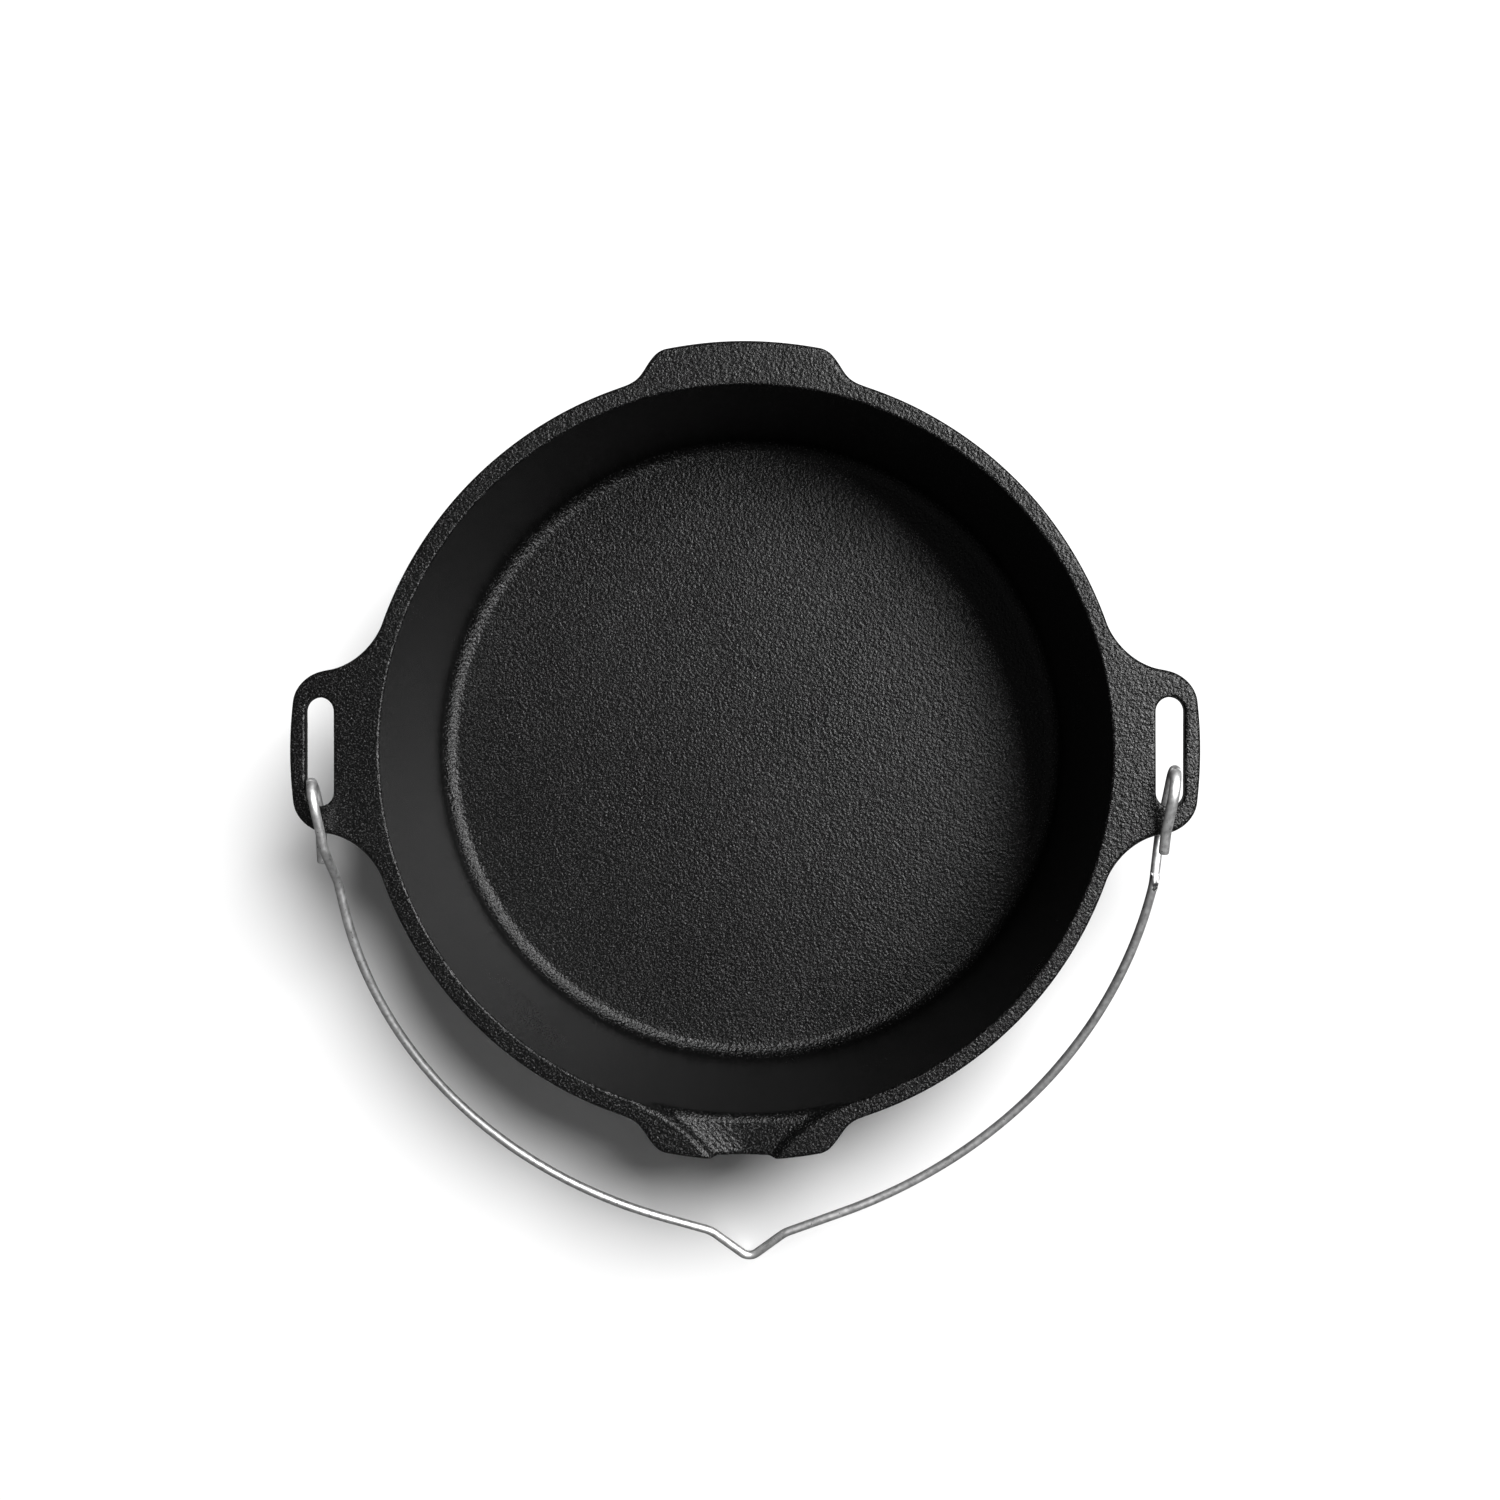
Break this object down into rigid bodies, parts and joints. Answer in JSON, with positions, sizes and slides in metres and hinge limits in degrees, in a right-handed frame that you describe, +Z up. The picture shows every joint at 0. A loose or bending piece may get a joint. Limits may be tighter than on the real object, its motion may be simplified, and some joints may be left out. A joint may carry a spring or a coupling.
{
  "type": "cast iron dutch oven",
  "caption": "Round cast iron camp pot with a tapered wall, slotted side ears, a pouring channel, a rear grip and a hinged wire bail with a notched middle.",
  "frame": {"origin": "centre of the pot's flat base, on the surface that it stands on", "axes": "+Z up along the pot's axis, +X towards the right ear, -Y towards the pouring channel and the lowered bail"},
  "size_m": [0.3794, 0.4053, 0.1198],
  "materials": {
    "seasoned_iron": "seasoned, pebbled",
    "steel_wire": "drawn wire, slightly pitted"
  },
  "bodies": {
    "pot": {"pot": "seasoned_iron"},
    "bail": {"bail": "steel_wire"}
  },
  "joints": [
    {"name": "bail_swing", "type": "hinge", "parent": "pot", "child": "bail", "pos_m": [0, -0.028, 0.1028], "axis": [-1, 0, 0], "range_deg": [0, 188]}
  ]
}
